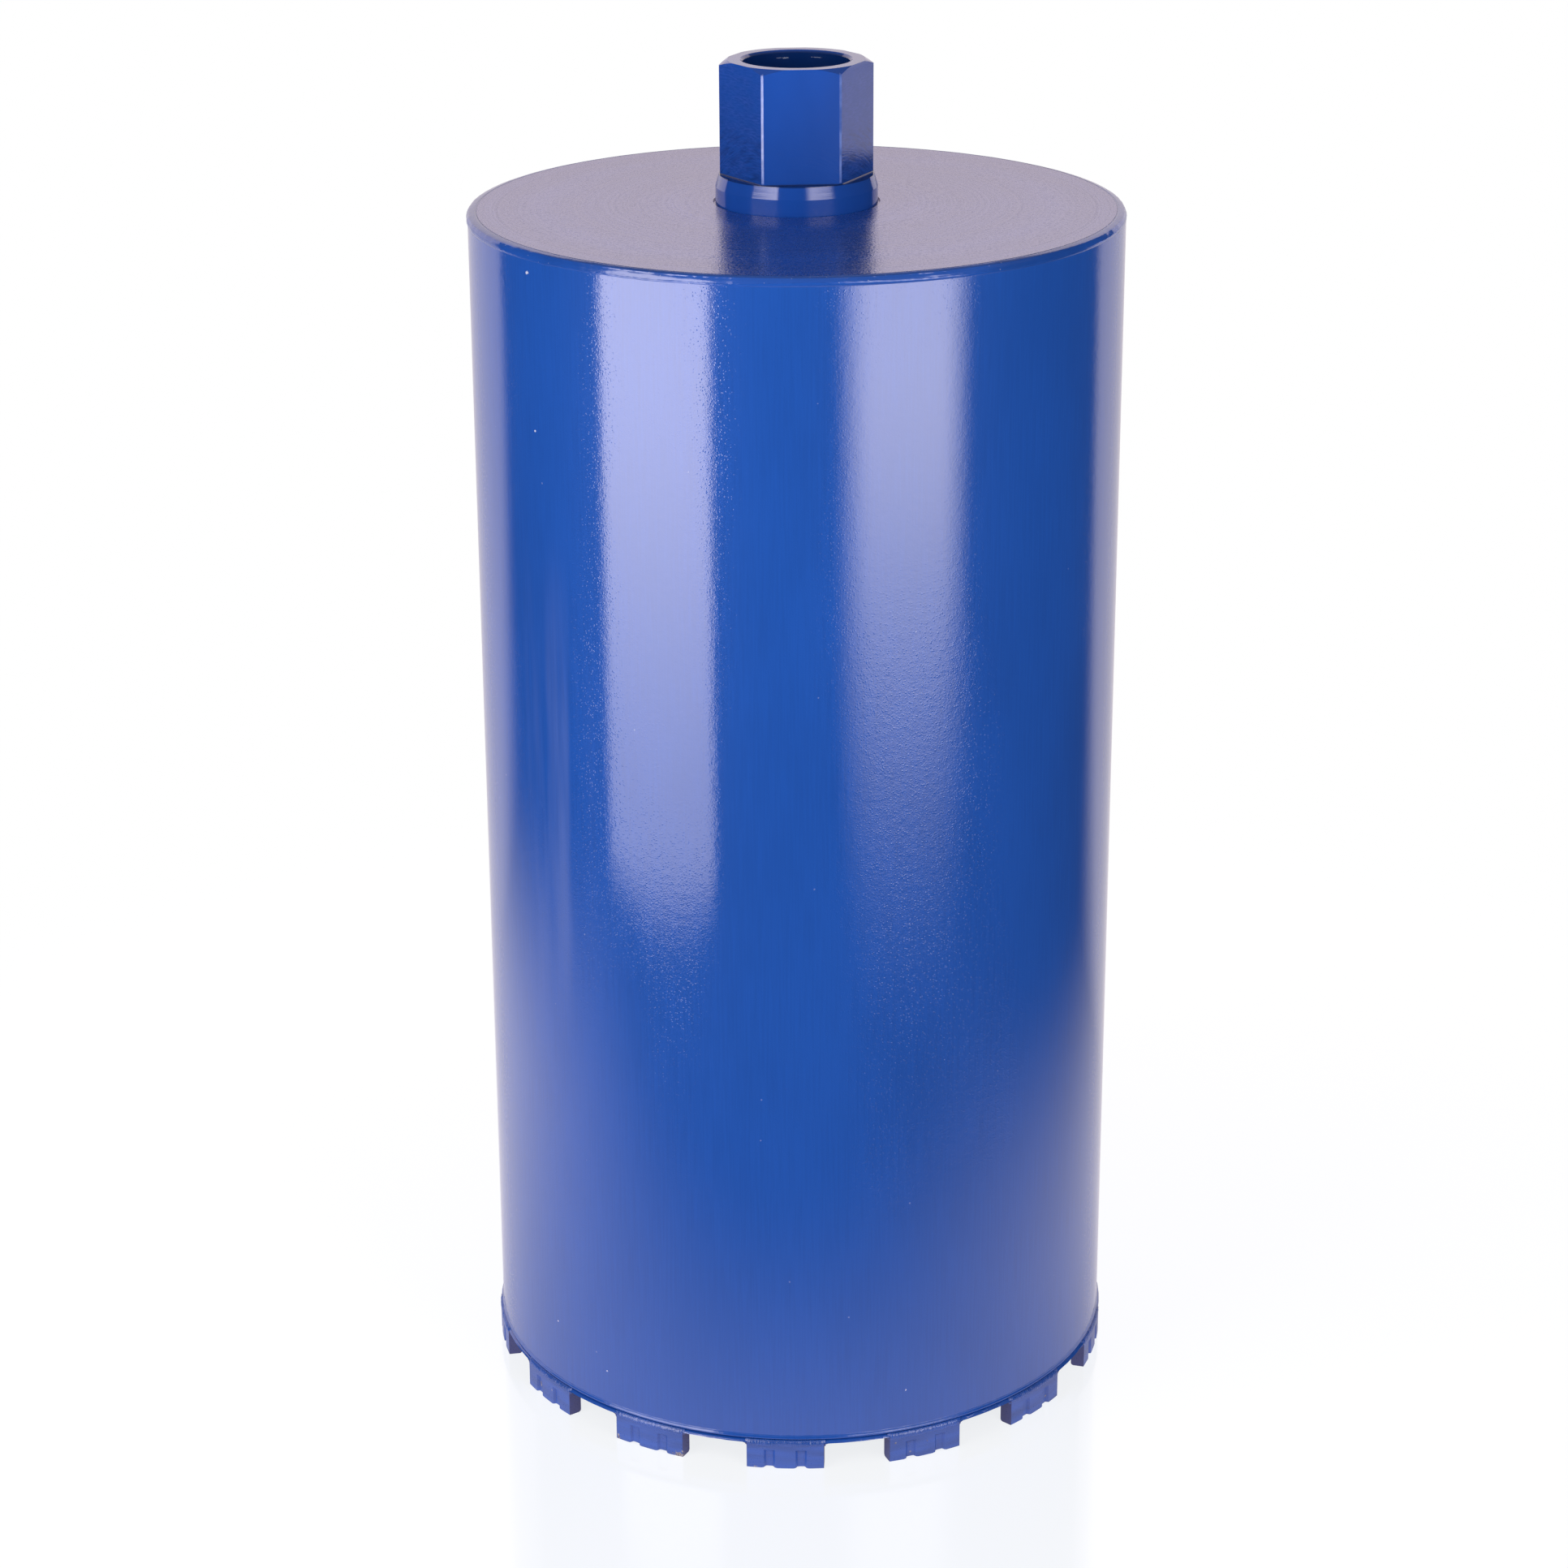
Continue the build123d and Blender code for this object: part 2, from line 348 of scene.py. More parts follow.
@dataclass(frozen=True)
class Paint(ABC):
    """Sprayed blue paint, with the values that every painted piece sets for itself."""

    effects: Effects
    name: str = "paint_coat"
    colour: tuple = (0.011, 0.078, 0.39, 1.0)
    roughness: float = 0.1
    index: float = 2.0
    sheen_tint: tuple = (1.0, 0.92, 0.98, 1.0)
    lump_size: float = 0.0022
    grain_size: float = 0.0004
    skin_depth: float = 0.00001
    grain_share: float = 0.3
    haze: float = 0.0
    haze_roughness: float = 0.42
    dust: tuple = (0.35, 0.4, 0.6, 1.0)

    @abstractmethod
    def surface(self, graph: Graph, skin: Outputs) -> tuple:
        """Builds what changes over the surface.

        Args:
            graph: Graph of the material.
            skin: Outputs of the paint skin, with this paint's values.

        Returns:
            Sockets of the colour, the roughness and the normal.
        """

    def material(self) -> Material:
        """Builds the material of this paint.

        Returns:
            The new material.
        """
        material = bpy.data.materials.new(self.name)
        material.use_nodes = True
        graph = Graph(material.node_tree)
        sizes = {
            "Lump Size": self.lump_size,
            "Grain Size": self.grain_size,
            "Grain Share": self.grain_share,
        }
        skin = graph.group(self.effects.paint_skin, sizes)
        colour, roughness, normal = self.surface(graph, skin)
        values = {
            "Base Color": colour,
            "Roughness": roughness,
            "Normal": normal,
            "IOR": self.index,
            "Specular Tint": self.sheen_tint,
            "Coat Weight": self.haze,
            "Coat Roughness": self.haze_roughness,
        }
        shader = graph.add("ShaderNodeBsdfPrincipled", values)
        graph.add("ShaderNodeOutputMaterial", {"Surface": shader.outputs[0]})
        return material

    def bump(self, graph: Graph, height: Socket, depth: float, under: Socket | None = None) -> Socket:
        """Turns a height into a normal.

        Args:
            graph: Graph of the material.
            height: Height socket, from 0 to about 1.
            depth: Metres that a height of 1 stands for.
            under: Normal socket of the coarser shape below, or None.

        Returns:
            The normal's socket.
        """
        values = {"Height": height, "Distance": depth, "Strength": 1.0}
        if under is not None:
            values["Normal"] = under
        return graph.add("ShaderNodeBump", values).outputs[0]

    def spots(self, graph: Graph, marks: tuple) -> Socket:
        """Joins several ragged spots in one mask.

        Args:
            graph: Graph of the material.
            marks: Azimuth in degrees, radius, height, half width and half height of each, in mm.

        Returns:
            Socket that is 1 within a spot.
        """
        mask = None
        for azimuth, radius, height, across, high in marks:
            values = {
                "X": radius * math.sin(math.radians(azimuth)) * MM,
                "Y": -radius * math.cos(math.radians(azimuth)) * MM,
                "Z": height * MM,
                "Across": across * MM,
                "High": high * MM,
            }
            spot = graph.group(self.effects.spot, values)[0]
            mask = spot if mask is None else graph.larger(mask, spot)
        return mask

    def deeper(self, share: float) -> tuple:
        """Gives the paint's colour at a share of its brightness."""
        return tuple(channel * share for channel in self.colour[:3]) + (1.0,)

    def tones(self, graph: Graph, value: Socket, ends: tuple, shares: tuple) -> Socket:
        """Shades the paint's colour by a value.

        Args:
            graph: Graph of the material.
            value: Socket that carries the pattern.
            ends: The pattern's values for the first and the second share.
            shares: Brightness of the colour at each end.

        Returns:
            The colour's socket.
        """
        return graph.mix(graph.rescale(value, *ends), self.deeper(shares[0]), self.deeper(shares[1]))

    def uneven(self, graph: Graph, value: Socket, ends: tuple, shares: tuple) -> Socket:
        """Varies the paint's roughness by a value.

        Args:
            graph: Graph of the material.
            value: Socket that carries the pattern.
            ends: The pattern's values for the first and the second share.
            shares: Factor of the roughness at each end.

        Returns:
            The roughness's socket.
        """
        return graph.rescale(value, *ends, (self.roughness * shares[0], self.roughness * shares[1]))


@dataclass(frozen=True)
class BarrelPaint(Paint):
    """Gloss paint of the tube, with orange peel, spray grains and faint upright streaks.

    A dry patch has its middle's azimuth, the half widths of its full and its whole strength
    in degrees, its top and foot in metres, and its strength.
    """

    name: str = "barrel_paint_coat"
    colour: tuple = (0.009, 0.078, 0.395, 1.0)
    roughness: float = 0.07
    grain_size: float = 0.0005
    skin_depth: float = 0.000017
    grain_share: float = 0.9
    haze: float = 0.2
    spray_depth: float = 0.00002
    streak_share: float = 0.25
    dry_patches: tuple = (
        (28.0, 10.0, 20.0, 0.24, 0.10, 1.0),
        (-20.0, 3.5, 8.0, 0.19, 0.10, 0.3),
        (-37.5, 1.5, 4.0, 0.25, 0.16, 0.5),
    )
    chips: tuple = (
        (-48.5, 99.1, 369.4, 0.7, 0.45),
        (-47.4, 99.1, 323.0, 0.3, 0.3),
        (-35.0, 99.1, 22.0, 0.3, 0.3),
        (-48.0, 99.1, 31.0, 0.35, 0.25),
        (22.0, 99.1, 24.0, 0.25, 0.3),
    )
    chip_colour: tuple = (0.62, 0.64, 0.80, 1.0)
    mist_and_sheen_azimuth: float = -44.0
    mist_and_sheen_colour: tuple = (0.60, 0.60, 0.85, 1.0)

    def surface(self, graph: Graph, skin: Outputs) -> tuple:
        """Builds the tube's colour, roughness and normal.

        Args:
            graph: Graph of the material.
            skin: Outputs of the paint skin.

        Returns:
            Sockets of the colour, the roughness and the normal.
        """
        angle, _, height = graph.wrapped()
        upright = graph.joined(graph.times(angle, 0.1), graph.times(height, 0.03))
        streaks = graph.noise(upright, 1400.0, 3.0, 0.6)
        specks = graph.group(self.effects.flecks, {"Spacing": 0.009, "Speck Size": 0.00028})
        tint = graph.plus(graph.times(skin["Cloud"], 0.5), graph.times(streaks, 0.5))
        colour = graph.layered(
            self.tones(graph, tint, (0.35, 0.65), (0.92, 1.06)),
            (graph.times(specks["Speck"], 0.35), self.dust),
            # Overspray streaks on the tube's left, partly painted sheen.
            (graph.times(self.mist_and_sheen(graph, angle, height), 0.09), self.mist_and_sheen_colour),
            (graph.times(self.spots(graph, self.chips), 0.9), self.chip_colour),
        )
        roughness = self.uneven(graph, tint, (0.3, 0.7), (0.8, 1.35))
        dry = self.dryness(graph, angle, height)
        lumpy = graph.times(skin["Height"], graph.rescale(dry, 0.0, 1.0, (1.0, 3.0)))
        wavy = self.bump(graph, lumpy, self.skin_depth)
        lined = self.bump(graph, streaks, self.skin_depth * self.streak_share, wavy)
        sizes = {"Spacing": 0.0008, "Speck Size": 0.00032, "Share": 0.75}
        spray = graph.group(self.effects.flecks, sizes)
        patchy = graph.plus(graph.rescale(skin["Cloud"], 0.38, 0.62, (0.3, 1.0)), graph.times(dry, 1.5))
        grainy = self.bump(graph, graph.times(spray["Dome"], patchy), self.spray_depth, lined)
        return colour, roughness, grainy

    def dryness(self, graph: Graph, angle: Socket, height: Socket) -> Socket:
        """Builds the patches where the spray came down dry and grainy.

        Args:
            graph: Graph of the material.
            angle: Socket of the angle round the axis, in radians.
            height: Socket of the height in metres.

        Returns:
            Socket of the patches' strength.
        """
        joined = None
        for azimuth, inner, outer, top, foot, strength in self.dry_patches:
            aside = graph.unsigned(graph.minus(angle, math.radians(azimuth - 90.0)))
            across = graph.rescale(aside, math.radians(outer), math.radians(inner))
            below = graph.rescale(height, top + 0.06, top)
            above = graph.rescale(height, foot - 0.03, foot)
            patch = graph.times(graph.times(across, graph.times(below, above)), strength)
            joined = patch if joined is None else graph.larger(joined, patch)
        return joined

    def mist_and_sheen(self, graph: Graph, angle: Socket, height: Socket) -> Socket:
        """Builds the faint upright streaks of overspray on the left of the tube, in a painted pale
        sheen colour.

        Args:
            graph: Graph of the material.
            angle: Socket of the angle round the axis, in radians.
            height: Socket of the height in metres.

        Returns:
            Socket of the mist's strength.
        """
        aside = graph.unsigned(graph.minus(angle, math.radians(self.mist_and_sheen_azimuth - 90.0)))
        across = graph.rescale(aside, 0.20, 0.03)
        above = graph.rescale(height, 0.12, 0.19)
        below = graph.rescale(height, 0.30, 0.225)
        upright = graph.stretch(graph.place(), (1.0, 1.0, 0.07))
        cloud = graph.rescale(graph.noise(upright, 120.0, 2.0, 0.5), 0.35, 0.7)
        return graph.times(graph.times(across, cloud), graph.times(above, below))


@dataclass(frozen=True)
class PlatePaint(Paint):
    """Thin satin paint over turned rings."""

    name: str = "plate_paint_coat"
    # A darker copy of the tube's blue: painted shade for the plate's dimmer light.
    colour: tuple = (0.007, 0.048, 0.26, 1.0)
    roughness: float = 0.15
    index: float = 6.0
    sheen_tint: tuple = (0.86, 0.83, 0.92, 1.0)
    lump_size: float = 0.0012
    grain_size: float = 0.0006
    skin_depth: float = 0.00004
    grain_share: float = 0.9
    pit_colour: tuple = (0.004, 0.006, 0.02, 1.0)

    def surface(self, graph: Graph, skin: Outputs) -> tuple:
        """Builds the end plate's colour, roughness and normal.

        Args:
            graph: Graph of the material.
            skin: Outputs of the paint skin.

        Returns:
            Sockets of the colour, the roughness and the normal.
        """
        rings = graph.group(self.effects.turned_rings, {"Pitch": 0.0009})
        dots = graph.group(self.effects.flecks, {"Spacing": 0.012, "Speck Size": 0.0003})
        colour = self.tones(graph, rings["Shade"], (0.3, 0.9), (0.7, 1.25))
        colour = graph.mix(dots["Pit"], colour, self.pit_colour)
        coarse = graph.noise(graph.place(), 1500.0, 2.0, 0.6)
        mixed = graph.plus(graph.times(coarse, 0.6), graph.times(rings["Height"], 0.4))
        roughness = self.uneven(graph, mixed, (0.38, 0.62), (0.8, 2.1))
        grained = self.bump(graph, skin["Height"], self.skin_depth)
        ringed = self.bump(graph, rings["Height"], self.skin_depth * 0.5, grained)
        return colour, roughness, ringed


@dataclass(frozen=True)
class HubPaint(Paint):
    """Gloss paint over milled flats and a turned collar, in metres."""

    name: str = "hub_paint_coat"
    colour: tuple = (0.0105, 0.076, 0.415, 1.0)
    roughness: float = 0.09
    index: float = 1.85
    skin_depth: float = 0.000006
    hex_bottom: float = 0.3859
    hex_top: float = 0.420
    clocking: float = math.radians(-23.0)
    cutter_height: float = 0.330
    corner_start: float = 0.01112
    corner_full: float = 0.01124
    bore_radius: float = 0.0162
    milled_roughness: float = 0.05
    sheen: tuple = (0.030, 0.095, 0.48, 1.0)
    # Colour of the painted highlight lines along the hex's corners.
    painted_corner_highlight: tuple = (0.22, 0.32, 0.78, 1.0)
    glints: tuple = (
        (-165.5, 16.1, 417.6, 0.9, 0.24),
        (-160.5, 16.1, 417.7, 1.2, 0.1),
        (160.0, 16.1, 417.9, 1.8, 0.08),
    )
    glint_colour: tuple = (0.62, 0.66, 0.85, 1.0)

    def surface(self, graph: Graph, skin: Outputs) -> tuple:
        """Builds the hub's colour, roughness and normal, with cutter arcs on its flats.

        Args:
            graph: Graph of the material.
            skin: Outputs of the paint skin.

        Returns:
            Sockets of the colour, the roughness and the normal.
        """
        sizes = {"Line Width": 0.0005, "Line Length": 0.012}
        lines = graph.group(self.effects.level_scratches, sizes)
        rings = graph.group(self.effects.turned_rings, {"Pitch": 0.0005})
        arcs = self.arcs(graph)
        height = graph.split(graph.place())[2]
        over_foot = graph.rescale(height, self.hex_bottom + 0.0002, self.hex_bottom + 0.0009)
        under_top = graph.rescale(height, self.hex_top - 0.0002, self.hex_top - 0.0010)
        on_flats = graph.times(over_foot, under_top)
        low = graph.rescale(graph.plus(height, graph.times(arcs, 0.004)), 0.4060, 0.3970)
        masks = {"arcs": arcs, "low": low, "on_flats": on_flats, "height": height}
        roughness = self.uneven(graph, skin["Grain"], (0.3, 0.7), (0.8, 1.3))
        roughness = graph.plus(roughness, graph.times(on_flats, self.milled_roughness))
        cut = graph.plus(graph.times(graph.times(arcs, low), 1.4), graph.times(lines["Height"], 0.8))
        turned = graph.times(rings["Height"], graph.minus(1.0, on_flats))
        marks = graph.plus(graph.times(cut, on_flats), turned)
        smooth = self.bump(graph, skin["Height"], self.skin_depth)
        milled = self.bump(graph, marks, self.skin_depth * 3.0, smooth)
        return self.tinted(graph, skin, lines, masks), roughness, milled

    def tinted(self, graph: Graph, skin: Outputs, lines: Outputs, masks: dict) -> Socket:
        """Builds the hub's colour: milling arcs and painted shade low on the side flats, painted sheen
        on their level lines, painted highlight lines on the corners, painted shade at the foot of the
        flats and inside the bore, and painted glints on the bore's rear wall.

        Args:
            graph: Graph of the material.
            skin: Outputs of the paint skin.
            lines: Outputs of the level scratches.
            masks: Sockets of the arcs, the low part of the flats, the flats and the height.

        Returns:
            The colour's socket.
        """
        x, y, _ = graph.split(graph.place())
        _, radius, _ = graph.wrapped()
        height = masks["height"]
        sideways = graph.unsigned(graph.plus(x, graph.times(y, 0.12)))
        aside = graph.times(graph.rescale(sideways, 0.0105, 0.0125), masks["on_flats"])
        # Milling arcs low on the side flats, mostly darker than the paint: partly the arcs, partly
        # painted shade.
        arcs_and_shade = self.tones(graph, masks["arcs"], (0.35, 0.65), (0.45, 1.05))
        # Painted sheen along the level lines on the side flats.
        brushing = graph.rescale(lines["Height"], 0.35, 0.65)
        brushed_sheen = graph.mix(brushing, self.deeper(0.8), self.sheen)
        brushed_share = graph.rescale(lines["Shade"], 0.3, 0.7, (0.15, 0.75))
        # Painted highlight lines along the hex's corners, broken by the level lines' bands.
        across = graph.unsigned(self.across(graph))
        corner = graph.rescale(across, self.corner_start, self.corner_full)
        corner = graph.times(corner, graph.rescale(lines["Shade"], 0.3, 0.7, (0.35, 0.85)))
        # Painted shade in the crease at the foot of the flats.
        crease_shade_foot = graph.rescale(height, self.hex_bottom - 0.0003, self.hex_bottom - 0.00005)
        crease_shade_top = graph.rescale(height, self.hex_bottom + 0.0004, self.hex_bottom + 0.00015)
        return graph.layered(
            self.tones(graph, skin["Cloud"], (0.35, 0.65), (0.88, 1.1)),
            (graph.times(graph.times(masks["low"], aside), 0.8), arcs_and_shade),
            (graph.times(aside, brushed_share), brushed_sheen),
            (graph.times(corner, masks["on_flats"]), self.painted_corner_highlight),
            (graph.times(graph.times(crease_shade_foot, crease_shade_top), 0.8), self.deeper(0.15)),
            # Painted shade inside the bore.
            (graph.rescale(radius, self.bore_radius + 0.0006, self.bore_radius), self.deeper(0.4)),
            (graph.times(self.spots(graph, self.glints), 0.6), self.glint_colour),
        )

    def across(self, graph: Graph) -> Socket:
        """Builds the distance from each flat's upright middle line, in metres.

        Args:
            graph: Graph of the material.

        Returns:
            Socket of the distance, with its sign.
        """
        angle, radius, _ = graph.wrapped()
        sector = math.radians(60.0)
        turned = graph.plus(graph.minus(angle, self.clocking), sector / 2 + 7 * sector)
        return graph.times(radius, graph.math("SINE", graph.folded(turned, sector)))

    def arcs(self, graph: Graph) -> Socket:
        """Builds the broken, nearly level arcs that a face mill leaves on each flat.

        Args:
            graph: Graph of the material.

        Returns:
            Socket of the arcs' height.
        """
        x, _, height = graph.split(graph.place())
        across = self.across(graph)
        side = graph.plus(across, graph.times(x, 0.9))
        reach = graph.diagonal(side, graph.minus(height, self.cutter_height))
        return graph.noise(graph.joined(reach, graph.times(across, 0.12)), 1300.0, 2.0, 0.6)


@dataclass(frozen=True)
class SegmentPaint(Paint):
    """Thin satin paint over ground metal bond, chipped at the tips."""

    name: str = "segment_paint_coat"
    roughness: float = 0.32
    lump_size: float = 0.0008
    count: int = 14
    half_length: float = 0.012
    bond: tuple = (0.42, 0.36, 0.33, 1.0)
    dark_bond: tuple = (0.10, 0.08, 0.09, 1.0)
    scratch_colour: tuple = (0.055, 0.13, 0.52, 1.0)
    end_shade_colour: tuple = (0.001, 0.015, 0.15, 1.0)
    chips: tuple = (
        (-19.6, 100.0, 0.7, 1.9, 0.75),
        (-18.9, 100.0, 2.0, 0.35, 0.5),
        (-32.2, 100.0, 0.9, 0.5, 0.9),
        (-54.4, 99.5, 3.2, 0.4, 0.9),
        (54.8, 99.5, 2.6, 0.35, 0.5),
        (19.9, 100.0, 6.3, 0.3, 0.3),
        (26.0, 100.0, 5.0, 0.2, 0.2),
        (-5.4, 100.0, 0.4, 0.5, 0.2),
        (130.0, 100.0, 0.8, 0.9, 0.5),
        (-156.0, 100.0, 0.6, 0.6, 0.4),
    )

    def surface(self, graph: Graph, skin: Outputs) -> tuple:
        """Builds the segments' colour, roughness and normal.

        Args:
            graph: Graph of the material.
            skin: Outputs of the paint skin.

        Returns:
            Sockets of the colour, the roughness and the normal.
        """
        sizes = {"Line Width": 0.0004, "Line Length": 0.010}
        lines = graph.group(self.effects.level_scratches, sizes)
        sizes = {"Spacing": 0.0032, "Speck Size": 0.00035, "Share": 0.10}
        specks = graph.group(self.effects.flecks, sizes)
        bare = graph.mix(graph.rescale(skin["Grain"], 0.4, 0.6), self.bond, self.dark_bond)
        colour = graph.layered(
            self.tones(graph, lines["Shade"], (0.3, 0.7), (0.8, 1.15)),
            (graph.rescale(lines["Height"], 0.56, 0.68, (0.0, 0.45)), self.scratch_colour),
            # Painted shade on the segments' end faces.
            (graph.times(self.ends(graph), 0.9), self.end_shade_colour),
            (graph.times(specks["Speck"], 0.5), self.bond),
            (graph.times(self.spots(graph, self.chips), 0.85), bare),
        )
        roughness = self.uneven(graph, skin["Grain"], (0.3, 0.7), (0.85, 1.2))
        grained = self.bump(graph, skin["Height"], self.skin_depth)
        ground = self.bump(graph, lines["Height"], self.skin_depth, grained)
        return colour, roughness, ground

    def ends(self, graph: Graph) -> Socket:
        """Builds a mask of the segments' end faces, where shade is painted into the colour.

        Args:
            graph: Graph of the material.

        Returns:
            Socket that is 1 on the end faces.
        """
        angle, radius, _ = graph.wrapped()
        sector = math.radians(360.0 / self.count)
        folded = graph.folded(graph.plus(angle, math.radians(90.0) + sector / 2), sector)
        across = graph.unsigned(graph.times(radius, graph.math("SINE", folded)))
        return graph.rescale(across, self.half_length - 0.00012, self.half_length - 0.00002)


@dataclass(frozen=True)
class WeldPaint(Paint):
    """Paint over a rough weld bead."""

    name: str = "weld_paint"
    roughness: float = 0.14
    lump_size: float = 0.0016
    skin_depth: float = 0.000012

    def surface(self, graph: Graph, skin: Outputs) -> tuple:
        """Builds the weld beads' colour, roughness and normal.

        Args:
            graph: Graph of the material.
            skin: Outputs of the paint skin.

        Returns:
            Sockets of the colour, the roughness and the normal.
        """
        specks = graph.group(self.effects.flecks, {"Spacing": 0.0016, "Speck Size": 0.00018})
        colour = self.tones(graph, skin["Cloud"], (0.35, 0.65), (0.8, 1.1))
        colour = graph.mix(graph.times(specks["Speck"], 0.5), colour, self.dust)
        roughness = self.uneven(graph, skin["Grain"], (0.3, 0.7), (0.7, 1.4))
        return colour, roughness, self.bump(graph, skin["Height"], self.skin_depth)


@dataclass(frozen=True)
class LaserWeldPaint(WeldPaint):
    """Duller paint over the rougher laser weld beads."""

    name: str = "laser_weld_paint"
    roughness: float = 0.26
    lump_size: float = 0.0008
    grain_size: float = 0.0003
    skin_depth: float = 0.00003


def mesh_piece(name: str, points: np.ndarray, faces: list, material: Material) -> Piece:
    """Makes a smooth mesh that rides with the bit.

    Args:
        name: Name of the piece.
        points: Vertices in millimetres, one row each.
        faces: Vertex numbers of each face.
        material: Finish of the piece.

    Returns:
        The new object.
    """
    mesh = bpy.data.meshes.new(name)
    mesh.from_pydata((points * MM).tolist(), [], faces)
    mesh.validate()
    mesh.polygons.foreach_set("use_smooth", [True] * len(mesh.polygons))
    mesh.materials.append(material)
    piece = bpy.data.objects.new(name, mesh)
    bpy.context.scene.collection.objects.link(piece)
    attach(piece, "root")
    log.info("%s: %d vertices, %d faces", name, len(mesh.vertices), len(mesh.polygons))
    return piece


def ring_points(radii: np.ndarray, heights: np.ndarray) -> np.ndarray:
    """Sets sections evenly round the axis, from azimuth 0 at the front.

    Args:
        radii: Radius of each point, one row for each section.
        heights: Height of each point, in the same order.

    Returns:
        Points, one row each.
    """
    azimuth = 2 * np.pi * np.arange(len(radii))[:, None] / len(radii)
    points = np.stack([radii * np.sin(azimuth), -radii * np.cos(azimuth), heights], 2)
    return points.reshape(-1, 3)


def ring_faces(turns: int, rows: int) -> list:
    """Numbers the faces of a closed ring.

    Args:
        turns: Sections round the axis.
        rows: Points in each section, which runs upwards on its outer side.

    Returns:
        Vertex numbers of each face.
    """
    faces = []
    for turn in range(turns):
        here = turn * rows
        there = (turn + 1) % turns * rows
        for row in range(rows):
            up = (row + 1) % rows
            faces.append((here + row, there + row, there + up, here + up))
    return faces


def rod_faces(steps: int, rows: int, start: int = 0) -> list:
    """Numbers the faces of a rod with closed ends.

    Args:
        steps: Lengths from section to section.
        rows: Points in each section, which runs downwards on its outer side.
        start: Number of the rod's first point.

    Returns:
        Vertex numbers of each face.
    """
    faces = []
    for step in range(steps):
        here = start + step * rows
        for row in range(rows):
            up = (row + 1) % rows
            faces.append((here + row, here + up, here + rows + up, here + rows + row))
    faces.append(tuple(start + row for row in reversed(range(rows))))
    faces.append(tuple(start + steps * rows + row for row in range(rows)))
    return faces


def periodic_noise(turns: int, waves: int, seed: int) -> np.ndarray:
    """Makes a smooth random line that meets itself after one turn.

    Args:
        turns: Number of values.
        waves: Number of random heights round the turn.
        seed: Seed of the random heights.

    Returns:
        Values between about -1 and 1.
    """
    heights = np.random.default_rng(seed).uniform(-1.0, 1.0, waves)
    at = np.arange(turns) * waves / turns
    low = np.floor(at).astype(int)
    part = at - low
    blend = part * part * (3 - 2 * part)
    return heights[low % waves] * (1 - blend) + heights[(low + 1) % waves] * blend


def dress(node: str, material: Material) -> None:
    """Gives a CAD node its finish.

    Args:
        node: Name of the node.
        material: Finish of the node.
    """
    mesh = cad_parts[node].data
    mesh.materials.clear()
    mesh.materials.append(material)
    log.info("%s dressed in %s", node, material.name)


@dataclass
class Hub:
    """Threaded hexagon hub with its collar and inner weld, in millimetres.

    A point of the thread's section has its reach inwards, as a share of the depth, and its
    place along the axis, as a share of the pitch.
    """

    finish: HubPaint
    weld_finish: WeldPaint
    thread_major: float = 15.875
    thread_pitch: float = 25.4 / 7
    thread_top: float = 412.0
    thread_bottom: float = 380.0
    thread_depth: float = 1.75
    thread_root: float = 0.12
    runout_turns: float = 0.35
    steps_per_turn: int = 96
    section: tuple = (
        (-0.04, -0.44),
        (-0.50, -0.30),
        (-1.0, -0.12),
        (-1.0, 0.12),
        (-0.50, 0.30),
        (-0.04, 0.44),
    )

    def build(self) -> None:
        """Dresses the hub and cuts its thread."""
        paint = self.finish.material()
        dress("hub", paint)
        dress("hub_weld", self.weld_finish.material())
        self.thread(paint)

    def thread(self, paint: Material) -> Piece:
        """Builds the ridges of the spindle thread on the bore's wall.

        Args:
            paint: Finish of the ridges.

        Returns:
            The ridge piece.
        """
        travel = self.thread_top - self.thread_bottom - 1.2 * self.thread_pitch
        steps = int(travel / self.thread_pitch * self.steps_per_turn)
        points = []
        for step in range(steps + 1):
            turn = step / self.steps_per_turn
            angle = 2 * math.pi * turn
            share = min(step, steps - step) / (self.runout_turns * self.steps_per_turn)
            depth = self.thread_depth * min(1.0, max(0.02, share))
            middle = self.thread_bottom + (0.6 + turn) * self.thread_pitch
            ridge = [(inward * depth, along) for inward, along in self.section]
            for reach, along in [(self.thread_root, -0.49), *ridge, (self.thread_root, 0.49)]:
                radius = self.thread_major + reach
                level = middle + along * self.thread_pitch
                points.append((radius * math.cos(angle), radius * math.sin(angle), level))
        faces = rod_faces(steps, len(self.section) + 2)
        return mesh_piece("spindle_thread", np.array(points), faces, paint)


